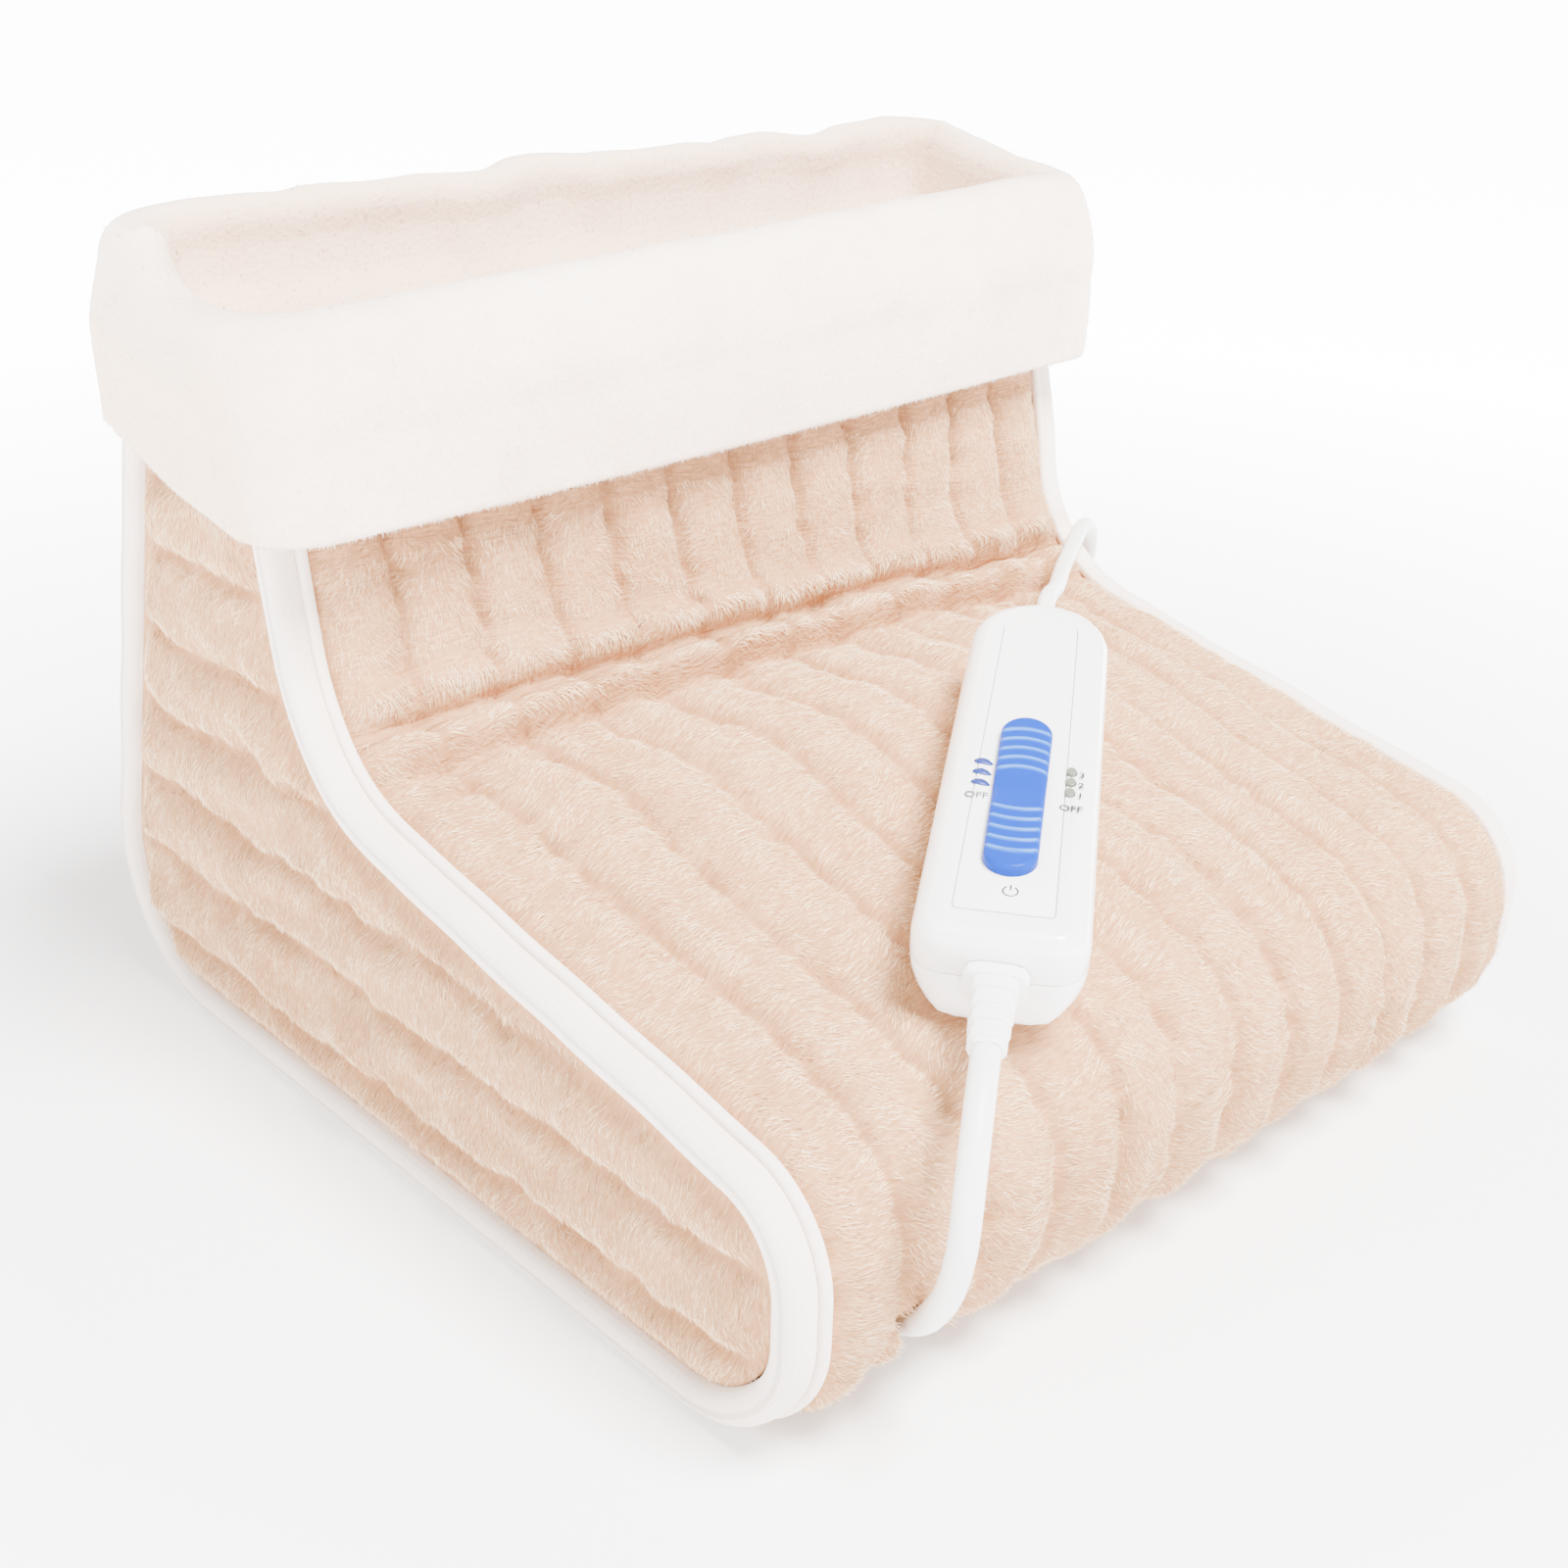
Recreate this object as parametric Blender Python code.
"""Electric foot warmer: one padded fleece boot for both feet, heated from the sole,
with a slide switch in a hand control on its lead.

Metres, +Z up.  X runs across the boot, the toe points to -Y and the heel to +Y.
The origin is on the floor under the middle of the boot.
"""
import math

import bmesh
import bpy
import numpy as np
from mathutils import Matrix, Vector

# Boot, side view: three straights and the floor line, joined by arcs
BOOT_WIDTH = 0.312          # over the edge bindings
BOOT_LENGTH = 0.309
TOE_TOP = 0.0735            # where the instep line meets the toe's front line
TOE_TOP_RADIUS = 0.030
TOE_FOOT_RADIUS = 0.038
INSTEP_SLOPE = math.radians(10.2)
CREASE_Y = 0.037            # where the instep line meets the shaft's front line
CREASE_RADIUS = 0.050
SHAFT_LEAN = math.radians(11.8)
BACK_LEAN = math.radians(12.0)
HEEL_RADIUS = 0.048
PANEL_TOP = 0.198           # the padded panels end here, under the cuff
LINING_TOP = 0.188

# Fabric
GAP = 0.0003                # between pieces that touch
PANEL_THICK = 0.006
SIDE_THICK = 0.008
LINING_THICK = 0.004
BINDING_SIZE = 0.010
CHANNELS_ACROSS = 12
CHANNEL_DEPTH = 0.004
SIDE_CHANNEL_PITCH = 0.025
SIDE_CHANNEL_DEPTH = 0.0035
SIDE_CHANNEL_WAVE = 0.0008
SIDE_WAVE_LENGTH = 0.062
SIDE_EDGE_EASE = 0.009      # the side channels fade out over this width at the binding
EDGE_DROP = 0.0015          # the panels are drawn in this far beside the binding
CROWN_SHAFT = 0.004
CROWN_CREASE = 0.006
CROWN_INSTEP_HIGH = 0.018   # by the crease
CROWN_INSTEP_LOW = 0.010    # by the toe
CROWN_TOE_TOP = 0.005
CROWN_TOE_FRONT = 0.004
CROWN_HEEL = 0.003
CROWN_BACK = 0.0053
CREASE_ROLL = 0.003         # two soft rolls beside the crease seam
CREASE_TUCK = 0.0015

# Cuff, the lining turned down over the shaft
CUFF_THICK = 0.006
CUFF_RIM_WIDTH = 0.016      # over both layers, where they turn
CUFF_HEM_THICK = 0.003      # the turned-down layer is thinner at its lower edge
CUFF_CORNER_INSIDE = 0.006
CUFF_SAG = 0.001            # of the lower edge, between its corners
CUFF_SWELL = 0.0075         # the lower edge goes round the back panel's crown
# One value for each corner: front right, back right, back left, front left.
# How far the rim and the lower edge stand off the shaft, endways and sideways
CUFF_RIM_END = (0.0215, 0.0155, 0.0155, 0.0225)
CUFF_RIM_SIDE = (0.0060, 0.0060, 0.0072, 0.0115)
CUFF_HEM_END = (0.0130, 0.0060, 0.0060, 0.0225)
CUFF_HEM_SIDE = (0.0053, 0.0053, 0.0053, 0.0120)
CUFF_RISE = (0.0518, 0.0595, 0.0530, 0.0405)    # from the lining's top edge to the top of the rim
CUFF_HANG = (0.0618, 0.0625, 0.0560, 0.0545)    # from the top of the rim to the lower edge
CUFF_RIM_RADIUS = (0.018, 0.018, 0.028, 0.026)
CUFF_HEM_RADIUS = (0.012, 0.011, 0.011, 0.018)

# Sole, insole and heater
FOAM_THICK = 0.009
HEATER_CLOTH_THICK = 0.0015
HEATER_MARGIN = 0.020
WIRE_SIZE = 0.0024
WIRE_RUNS = 8
WIRE_BEND_STEPS = 6
WIRE_RUN_LENGTH = 0.130
WIRE_RUN_PITCH = 0.026
HEATER_LAYER = 0.0029       # height kept free for the wire and its fittings
THERMOSTAT_SIZE = (0.016, 0.008)
FUSE_SIZE = (0.012, 0.004)
JUNCTION_SIZE = (0.012, 0.014)
JUNCTION_SHIFT = 0.012      # from the gland towards the toe, clear of the lining's bend
SOLE_LINING_OFFSET = PANEL_THICK + FOAM_THICK + HEATER_CLOTH_THICK + HEATER_LAYER + 4 * GAP
GROOVE_X_SHARE = -4         # the sole is draped over the mains lead along this channel seam
GROOVE_SPARE = 0.0012
GROOVE_WALL = 0.005
TOE_DENT = 0.0105           # the toe's fleece is pressed in this far by the lead
LEAD_DRIFT = 0.0225         # the lead crosses the toe this far to the side of the groove
DRIFT_LOW_SHARE = 0.9       # of the drift that is left at the toe's foot
DRIFT_END_SHARE = 0.06      # and where the groove starts
GROOVE_CLEAR_SHARE = 0.6    # of a channel each side of the lead has no other points

# Cords
MAINS_CORD = 0.007
PAD_CORD = 0.0055
CORD_STEP_SHARE = 2.2       # points along a cord, in diameters
GLAND_FROM_HEEL = 0.0345
GLAND_Y = BOOT_LENGTH / 2 - GLAND_FROM_HEEL
GLAND_FLANGE = 0.012
GLAND_FLANGE_THICK = 0.002
GLAND_BODY = 0.0085
GLAND_NOSE = 0.014
GLAND_TAIL = 0.001

# Hand control
CONTROL_LENGTH = 0.156
CONTROL_WIDTH_FOOT = 0.0425
CONTROL_WIDTH_HEAD = 0.039
CONTROL_THICK = 0.027
CONTROL_FOOT_AT = (-0.0790, -0.1385)
CONTROL_YAW = math.radians(37.4)
CONTROL_PITCH = math.radians(10.5)
CONTROL_SEAM_HEIGHT = 0.0145
CONTROL_WALL = 0.002
CONTROL_EDGE_RADIUS = 0.007
CONTROL_CORNER = 0.009
CONTROL_CORNER_LEAST = 0.0015   # of an outline drawn in past the corner's own radius
CONTROL_END_SHARE = 0.5     # the foot's face is rounded this much of the long edges' radius
CONTROL_BELLY_END_SHARE = 0.12  # and drawn in this much of the belly's rounding below the seam
CONTROL_BELLY_SHARE = 0.7   # of the half width is taken by the lower shell's rounding
CONTROL_REST_GAP = 0.0005
PLATE_MARGIN = 0.002
PLATE_DEPTH = 0.0008
SLOT_PLAY = 0.0005
KNOB_START = 0.0225         # lower end of the slider, from the control's foot
KNOB_LENGTH = 0.0655
KNOB_WIDTH = 0.0135
KNOB_HEIGHT = 0.0032
KNOB_RIB_COUNT = 4
KNOB_RIB_HEIGHT = 0.0007
KNOB_RIB_PITCH = 0.0058
KNOB_RIB_BOW = 0.0016       # the ribs curve towards the knob's ends
STEP_TRAVEL = 0.0045        # between two heat steps
STEP_COUNT = 3
STEM_LENGTH = 0.014
STEM_WIDTH = 0.006
CARRIER_LENGTH = 0.024
CARRIER_WIDTH = 0.014
CARRIER_THICK = 0.0025
BOARD_THICK = 0.0016
BOARD_MARGIN = 0.004
BOARD_START = 0.018
BOARD_END_CLEAR = 0.026     # from the board's end to the control's round head
BOARD_LENGTH = CONTROL_LENGTH - BOARD_START - BOARD_END_CLEAR
BOSS_WALL = 0.0016
BOSS_INSET = 0.0045
SWITCH_LENGTH = 0.036
SWITCH_WIDTH = 0.013
LENS_LENGTH = 0.0034
LENS_WIDTH = 0.0024
LENS_PROUD = 0.0003
LENS_OFFSET = 0.0125
SCREW_HEAD = 0.0055
SCREW_SHAFT = 0.0025
SCREW_HEAD_THICK = 0.0016

# Strain reliefs
COLLAR_WIDTH = 0.016
COLLAR_HEIGHT = 0.011
COLLAR_LENGTH = 0.004
COLLAR_INSIDE = 0.003
RELIEF_LENGTH = 0.021
RELIEF_RIBS = 4
RELIEF_WIDTH = 0.0115
RELIEF_HEIGHT = 0.010
RELIEF_RIB_DROP = 0.0009
RELIEF_ROUND_SHARE = 0.55   # power of the sine that squares the relief's section; 1 is an ellipse
RELIEF_TAPER_SHARE = 0.06   # each rib is this much of the first one slimmer than the last
COLLAR_NECK_SHARE = 0.8     # of the collar's size where it passes the shells' wall
LEAD_RELIEF_LENGTH = 0.011
LEAD_RELIEF_FOOT = 0.0085
LEAD_RELIEF_TIP = 0.0068
LEAD_RELIEF_INSIDE = 0.003

# Mains coil behind the heel, its tie and plug
COIL_CENTRE = (-0.030, 0.222)
COIL_RADIUS = 0.048
COIL_TURNS_A_LAYER = 2.5
COIL_PITCH = 0.0077
COIL_LAYER = 0.0076
COIL_DIP = 0.0015            # the climbing half turn draws in this far
COIL_POINTS_A_TURN = 24
TIE_THICK = 0.0012
TIE_WIDTH = 0.010
PLUG_WIDTH = 0.0353
PLUG_THICK = 0.0137
PLUG_NOSE_WIDTH = 0.026
PLUG_LENGTH = 0.020
PLUG_GRIP_LENGTH = 0.014
PLUG_GRIP_WIDTH = 0.011
PLUG_CORNER = 0.0035
PIN_SIZE = 0.004
PIN_LENGTH = 0.019
PIN_SPACING = 0.0186
PIN_TIP = 0.0008

# Routes of the cords, chosen by hand, in metres
MAINS_ROUTE = (
    (-0.1136, -0.1650, 0.0914), (-0.1197, -0.1697, 0.0849), (-0.1238, -0.1728, 0.0762),
    (-0.1251, -0.1735, 0.0655), (-0.1238, -0.1704, 0.0520), (-0.1190, -0.1620, 0.0370),
    (-0.1113, -0.1501, 0.0230),
    (-0.1030, -0.1365, 0.0112), (-0.0984, -0.1220, 0.0047), (-0.0971, -0.1050, 0.0037),
    (-0.0971, -0.0500, 0.0037),
    (-0.0971, 0.0000, 0.0037), (-0.0971, 0.0600, 0.0037), (-0.0971, 0.1200, 0.0037),
    (-0.0965, 0.1450, 0.0038), (-0.0930, 0.1650, 0.0041), (-0.0855, 0.1850, 0.0046),
    (-0.0800, 0.2000, 0.0050),
)
PAD_ROUTE = (
    (0.0640, -0.0300, 0.1310), (0.0770, -0.0210, 0.1265), (0.0920, -0.0105, 0.1220),
    (0.1120, 0.0035, 0.1200), (0.1350, 0.0175, 0.1210), (0.1460, 0.0240, 0.1216),
    (0.1548, 0.0285, 0.1198), (0.1620, 0.0320, 0.1150), (0.1665, 0.0350, 0.1075),
    (0.1682, 0.0375, 0.0985), (0.1682, 0.0410, 0.0820), (0.1676, 0.0460, 0.0580),
    (0.1690, 0.0530, 0.0300), (0.1760, 0.0610, 0.0115), (0.1890, 0.0680, 0.0040),
    (0.2080, 0.0725, 0.0028), (0.2290, 0.0745, 0.0028), (0.2410, 0.0780, 0.0028),
    (0.2495, 0.0866, 0.0028), (0.2526, 0.0980, 0.0028), (0.2495, 0.1095, 0.0028),
    (0.2410, 0.1180, 0.0028), (0.2290, 0.1212, 0.0028), (0.2180, 0.1208, 0.0046),
    (0.2075, 0.1203, 0.0108), (0.1970, 0.1200, 0.0174),
)
TAIL_ROUTE = (
    (0.0195, 0.1970, 0.0118), (0.0262, 0.1850, 0.0098), (0.0372, 0.1778, 0.0078),
    (0.0480, 0.1762, 0.0070), (0.0600, 0.1762, 0.0070),
)

# Finish of each material: colour, roughness, metallic
FLEECE = ((0.79, 0.64, 0.52), 0.95, 0.0)
PLUSH = ((0.93, 0.87, 0.82), 0.95, 0.0)
TAPE = ((0.92, 0.86, 0.82), 0.85, 0.0)
FOAM = ((0.88, 0.88, 0.84), 0.95, 0.0)
CLOTH = ((0.82, 0.80, 0.76), 0.90, 0.0)
WIRE = ((0.75, 0.20, 0.16), 0.50, 0.0)
WHITE_GLOSS = ((0.93, 0.92, 0.91), 0.22, 0.0)
WHITE_MATTE = ((0.92, 0.91, 0.90), 0.40, 0.0)
BLUE_GLOSS = ((0.03, 0.27, 0.80), 0.25, 0.0)
BOARD_GREEN = ((0.05, 0.28, 0.12), 0.55, 0.0)
DARK = ((0.05, 0.05, 0.05), 0.45, 0.0)
LENS_GREY = ((0.42, 0.42, 0.40), 0.25, 0.0)
STEEL = ((0.60, 0.60, 0.60), 0.35, 1.0)
NICKEL = ((0.72, 0.70, 0.66), 0.25, 1.0)

# Shares of a channel's height across one channel, seam to seam
CHANNEL_SHARES = (0.0, 0.82, 1.0, 0.82)
SIDE_CHANNEL_SHARES = (0.0, 0.85, 1.0, 0.70)
# The cuff's middle line. Inner layer: shares of its way outward and of its rise above the panels
CUFF_FLARE_SHARES = ((0, 0.06), (0.22, 0.24), (0.72, 0.48), (1, 0.72))
# Rim: shares of the distance between the layers and of the rise
CUFF_RIM_SHARES = ((0.14, 0.92), (0.5, 1.0), (0.86, 0.92), (1, 0.74))
# A point on the outer layer: shares of its fall, of its change from rim to lower edge and of its corner
CUFF_FALL_SHARE = 0.58
CUFF_DRAW_SHARE = 0.3
CUFF_ROUND_SHARE = 0.4
CORNER_SIGNS = ((1, -1), (1, 1), (-1, 1), (-1, -1))
# A rib of the relief: share of its pitch, and 1 in the groove beside it
RELIEF_RIB_SHARES = ((0.12, 0), (0.62, 0), (0.70, 1), (0.98, 1))
# The knob's section: shares of its half width and of its height, from side to side
KNOB_SECTION_SHARES = ((-1, 0), (-1, 0.55), (-0.72, 0.88), (0, 1), (0.72, 0.88), (1, 0.55), (1, 0))
KNOB_RIB_SHARES = ((-0.22, 0), (0, 1), (0.22, 0))  # share of the ribs' pitch, and 1 on the crest
KNOB_END_SHARES = (0.87, 0.93, 0.97, 0.995)  # sections of the rounded ends, on the half length
KNOB_END_RISE_SHARE = 0.62   # of the knob's height is left at its ends
STEM_ROOT_SHARE = 0.33       # of the knob's height that the stem reaches up into it
STEM_TIP_SHARE = 0.6         # of the carrier's thickness that the stem reaches down into it
# The plug from its cord: share of grip and of nose length, width and height of the section there
PLUG_SWELL_SHARE = 0.7
PLUG_SWELL_WIDTH_SHARE = 1.15
PLUG_NOSE_SHARE = 0.55
GLAND_TIP_SHARE = 1.25       # of the lead's radius at the gland's tip
# Parts on the board: name, start and end along it, right and left side, height
BOARD_BLOCK_SHARES = (
    ("capacitor", 0.26, 0.14, -0.7, 0.1, 0.8), ("triac", 0.24, 0.18, 0.3, 0.9, 0.6),
    ("terminal_block", 0.10, 0.03, -0.6, 0.6, 0.7),
)
CREASE_STEPS = 6
TOE_STEPS = 4
HEEL_STEPS = 5
INSTEP_RUNS = 4
SOLE_RUNS = 4
BACK_RUNS = 4
INNER_COLUMNS = 8
BINDING_SIDES = 10
CUFF_CORNER_STEPS = 4
CUFF_FRONT_RUNS = 4
CONTROL_HEAD_STEPS = 18
CONTROL_CORNER_STEPS = 5
CONTROL_EDGE_STEPS = 5
CONTROL_BELLY_STEPS = 6
SCREW_SIDES = 10
RELIEF_SIDES = 12
PIN_SIDES = 8
REST_SAMPLES = 5            # heights read between two stations under the control


def clear_scene():
    for thing in list(bpy.data.objects):
        bpy.data.objects.remove(thing, do_unlink=True)


def material(name, finish):
    """A Principled material of its own for each sub-part."""
    colour, roughness, metallic = finish
    made = bpy.data.materials.new(name)
    made.use_nodes = True
    shader = made.node_tree.nodes["Principled BSDF"]
    shader.inputs["Base Color"].default_value = (*colour, 1)
    shader.inputs["Roughness"].default_value = roughness
    shader.inputs["Metallic"].default_value = metallic
    made.diffuse_color = (*colour, 1)
    return made


def link(name, data, finish, parent=None):
    made = bpy.data.objects.new(name, data)
    if finish:
        data.materials.append(material(name, finish))
    bpy.context.scene.collection.objects.link(made)
    made.parent = parent
    return made


def solid(name, points, faces, finish, parent=None, smooth=True):
    """One or more closed bodies from points and faces, with the faces turned outward."""
    mesh = bpy.data.meshes.new(name)
    mesh.from_pydata([tuple(p) for p in points], [], faces)
    shape = bmesh.new()
    shape.from_mesh(mesh)
    bmesh.ops.recalc_face_normals(shape, faces=shape.faces)
    shape.to_mesh(mesh)
    shape.free()
    if smooth:
        mesh.shade_smooth()
        mesh.set_sharp_from_angle(angle=math.radians(40))
    return link(name, mesh, finish, parent)


def ring_faces(first, count, rings, closed=False):
    """Quads between rings of count points that start at index first."""
    faces = []
    for r in range(rings if closed else rings - 1):
        a, b = first + r * count, first + ((r + 1) % rings) * count
        for k in range(count):
            n = (k + 1) % count
            faces.append((a + k, a + n, b + n, b + k))
    return faces


def lofted(rings):
    """Points and faces of a body through rings of equal count, capped at both ends."""
    count = len(rings[0])
    points = [p for ring in rings for p in ring]
    faces = ring_faces(0, count, len(rings))
    faces.append(tuple(range(count)))
    last = (len(rings) - 1) * count
    faces.append(tuple(range(last, last + count)))
    return points, faces


def joined(bodies):
    """Several bodies as one list of points and one of faces."""
    points, faces = [], []
    for more_points, more_faces in bodies:
        start = len(points)
        points += [tuple(p) for p in more_points]
        faces += [tuple(start + k for k in face) for face in more_faces]
    return points, faces


def box(low, high):
    corners = [[(x, y, z) for x, y in ((low[0], low[1]), (high[0], low[1]), (high[0], high[1]),
                                       (low[0], high[1]))] for z in (low[2], high[2])]
    return lofted(corners)


def turned(profile, steps, axis="X"):
    """A turned body: profile is (along, radius) pairs, from one flat end to the other."""
    rings = []
    for along, radius in profile:
        ring = []
        for k in range(steps):
            a = 2 * math.pi * k / steps
            c, s = radius * math.cos(a), radius * math.sin(a)
            ring.append({"X": (along, c, s), "Y": (c, along, s), "Z": (c, s, along)}[axis])
        rings.append(ring)
    return lofted(rings)


def placed(body, matrix):
    points, faces = body
    return [tuple(matrix @ Vector(p)) for p in points], faces


def cut(target, name, body, parent=None):
    """Cuts a closed body out of target with an exact Boolean."""
    cutter = solid(name, *body, None, parent, smooth=False)
    cutter.hide_render = True
    cutter.display_type = "WIRE"
    boolean = target.modifiers.new(name, "BOOLEAN")
    boolean.operation = "DIFFERENCE"
    boolean.solver = "EXACT"
    boolean.object = cutter


# Side outline of the boot

def arc_stations(before, corner, after, radius, steps):
    """Stations on the arc that rounds a corner: place and inward normal, from tangent to tangent."""
    before, corner, after = (np.array(p) for p in (before, corner, after))
    into = (corner - before) / np.linalg.norm(corner - before)
    out = (after - corner) / np.linalg.norm(after - corner)
    turn = math.atan2(into[0] * out[1] - into[1] * out[0], into @ out)
    tangent = radius * math.tan(abs(turn) / 2)
    side = math.copysign(1, turn)
    start = corner - into * tangent
    centre = start + side * radius * np.array((-into[1], into[0]))
    stations = []
    for k in range(steps + 1):
        a = turn * k / steps
        spoke = start - centre
        c, s = math.cos(a), math.sin(a)
        spoke = np.array((c * spoke[0] - s * spoke[1], s * spoke[0] + c * spoke[1]))
        stations.append((centre + spoke, -side * spoke / radius))
    return stations


def straight_stations(start, end, shares):
    """Stations on a straight, at shares of its length, with the normal on its left."""
    start, end = np.array(start), np.array(end)
    along = (end - start) / np.linalg.norm(end - start)
    normal = np.array((-along[1], along[0]))
    return [(start + (end - start) * share, normal) for share in shares]


class Outline:
    """The boot's side outline as stations from the shaft's front top round to its back top."""

    def __init__(self):
        half = BOOT_LENGTH / 2
        toe_top = (-half, TOE_TOP)
        toe_foot = (-half, 0)
        crease = (CREASE_Y, TOE_TOP + (CREASE_Y + half) * math.tan(INSTEP_SLOPE))
        front_top = (CREASE_Y + (PANEL_TOP - crease[1]) * math.tan(SHAFT_LEAN), PANEL_TOP)
        heel_angle = (math.pi / 2 - BACK_LEAN) / 2
        heel_y = half - HEEL_RADIUS + HEEL_RADIUS / math.tan(heel_angle)
        heel = (heel_y, 0)
        back_top = (heel_y - PANEL_TOP * math.tan(BACK_LEAN), PANEL_TOP)
        self.front_line = (CREASE_Y, crease[1])
        self.back_line = heel
        arcs = [arc_stations(front_top, crease, toe_top, CREASE_RADIUS, CREASE_STEPS),
                arc_stations(crease, toe_top, toe_foot, TOE_TOP_RADIUS, TOE_STEPS),
                arc_stations(toe_top, toe_foot, heel, TOE_FOOT_RADIUS, TOE_STEPS),
                arc_stations(toe_foot, heel, back_top, HEEL_RADIUS, HEEL_STEPS)]
        lining_share = (PANEL_TOP - LINING_TOP) / (PANEL_TOP - arcs[0][0][0][1])
        middle_share = (1 + lining_share) / 2
        self.stations = straight_stations(front_top, arcs[0][0][0], (0, lining_share, middle_share))
        self.lining_front = 1
        self.crease = len(self.stations) + CREASE_STEPS // 2
        self.add(arcs[0])
        self.add(straight_stations(arcs[0][-1][0], arcs[1][0][0],
                                   np.arange(1, INSTEP_RUNS) / INSTEP_RUNS))
        self.toe_top = len(self.stations)
        self.add(arcs[1])
        self.toe_front = len(self.stations) - 1
        self.toe_low = len(self.stations)
        self.add(arcs[2])
        self.sole_start = len(self.stations) - 1
        self.add(straight_stations(arcs[2][-1][0], arcs[3][0][0],
                                   np.arange(1, SOLE_RUNS) / SOLE_RUNS))
        self.sole_end = len(self.stations)
        self.add(arcs[3])
        self.heel_top = len(self.stations) - 1
        back_share = (LINING_TOP - arcs[3][-1][0][1]) / (PANEL_TOP - arcs[3][-1][0][1])
        self.add(straight_stations(arcs[3][-1][0], back_top,
                                   [back_share * k / BACK_RUNS for k in range(1, BACK_RUNS + 1)]))
        self.lining_back = len(self.stations) - 1
        self.add(straight_stations(arcs[3][-1][0], back_top, (1,)))
        self.places = np.array([p for p, _ in self.stations])
        self.normals = np.array([n for _, n in self.stations])
        steps = np.diff(self.places, axis=0)
        self.travel = np.concatenate(([0.0], np.cumsum(np.linalg.norm(steps, axis=1))))

    def add(self, more):
        self.stations += more

    def inset(self, offsets):
        """The outline moved inward by one offset, or by one for each station."""
        offsets = np.broadcast_to(np.asarray(offsets, float), (len(self.places),))
        return self.places + self.normals * offsets[:, None]

    def front_y(self, z):
        y, low = self.front_line
        return y + (z - low) * math.tan(SHAFT_LEAN)

    def back_y(self, z):
        return self.back_line[0] - z * math.tan(BACK_LEAN)


OUTLINE = Outline()
LAST = len(OUTLINE.stations) - 1
BAND_HALF = BOOT_WIDTH / 2 - BINDING_SIZE - GAP
CHANNEL_WIDTH = 2 * BAND_HALF / CHANNELS_ACROSS
COLUMN = CHANNEL_WIDTH / len(CHANNEL_SHARES)
GROOVE_X = GROOVE_X_SHARE * CHANNEL_WIDTH


def eased(stops):
    """Height at each station, from (station, height) stops along the outline."""
    at = [OUTLINE.travel[k] for k, _ in stops]
    return np.interp(OUTLINE.travel, at, [h for _, h in stops])


CROWNS = eased(((0, CROWN_SHAFT), (OUTLINE.crease - 1, CROWN_CREASE), (OUTLINE.crease + 1, CROWN_CREASE),
                (OUTLINE.crease + 4, CROWN_INSTEP_HIGH), (OUTLINE.toe_top - 1, CROWN_INSTEP_LOW),
                (OUTLINE.toe_top + 1, CROWN_TOE_TOP), (OUTLINE.toe_front, CROWN_TOE_FRONT),
                (OUTLINE.sole_start - 1, 0), (OUTLINE.sole_end, 0),
                (OUTLINE.sole_end + 2, CROWN_HEEL), (OUTLINE.heel_top, CROWN_BACK),
                (LAST, CROWN_SHAFT)))
CHANNELS = eased(((0, CHANNEL_DEPTH), (OUTLINE.crease - 1, CHANNEL_DEPTH), (OUTLINE.crease, 0),
                  (OUTLINE.crease + 1, CHANNEL_DEPTH), (OUTLINE.sole_start - 2, CHANNEL_DEPTH),
                  (OUTLINE.sole_start, 0), (OUTLINE.sole_end, 0),
                  (OUTLINE.sole_end + 2, CHANNEL_DEPTH), (LAST, CHANNEL_DEPTH)))
DROPS = eased(((0, EDGE_DROP), (OUTLINE.sole_start - 1, EDGE_DROP), (OUTLINE.sole_start, 0),
               (OUTLINE.sole_end, 0), (OUTLINE.sole_end + 1, EDGE_DROP), (LAST, EDGE_DROP)))
ROLLS = eased(((0, 0), (OUTLINE.crease - 2, 0), (OUTLINE.crease - 1, CREASE_ROLL),
               (OUTLINE.crease, -CREASE_TUCK), (OUTLINE.crease + 1, CREASE_ROLL),
               (OUTLINE.crease + 2, 0), (LAST, 0)))
GROOVE_DEPTH = MAINS_CORD + GROOVE_SPARE
DENTS = eased(((0, 0), (OUTLINE.toe_front, 0), (OUTLINE.toe_low + 1, TOE_DENT),
               (OUTLINE.sole_start - 1, TOE_DENT), (OUTLINE.sole_start, GROOVE_DEPTH),
               (OUTLINE.sole_end, GROOVE_DEPTH), (OUTLINE.sole_end + 1, GROOVE_DEPTH),
               (OUTLINE.sole_end + 3, 0), (LAST, 0)))
DENT_SHIFTS = eased(((0, LEAD_DRIFT), (OUTLINE.toe_front, LEAD_DRIFT),
                     (OUTLINE.toe_low, LEAD_DRIFT * DRIFT_LOW_SHARE),
                     (OUTLINE.sole_start - 1, LEAD_DRIFT * DRIFT_END_SHARE),
                     (OUTLINE.sole_start, 0), (LAST, 0)))
LINING_OFFSETS = eased(((0, PANEL_THICK + GAP), (OUTLINE.toe_top, PANEL_THICK + GAP),
                        (OUTLINE.toe_low + 1, SOLE_LINING_OFFSET),
                        (OUTLINE.sole_end + 2, SOLE_LINING_OFFSET),
                        (OUTLINE.heel_top, PANEL_THICK + GAP), (LAST, PANEL_THICK + GAP)))


def outer_columns():
    """Places across the boot where the quilted surface has its points, seam to seam."""
    count = CHANNELS_ACROSS * len(CHANNEL_SHARES)
    return np.linspace(-BAND_HALF, BAND_HALF, count + 1)


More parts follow.
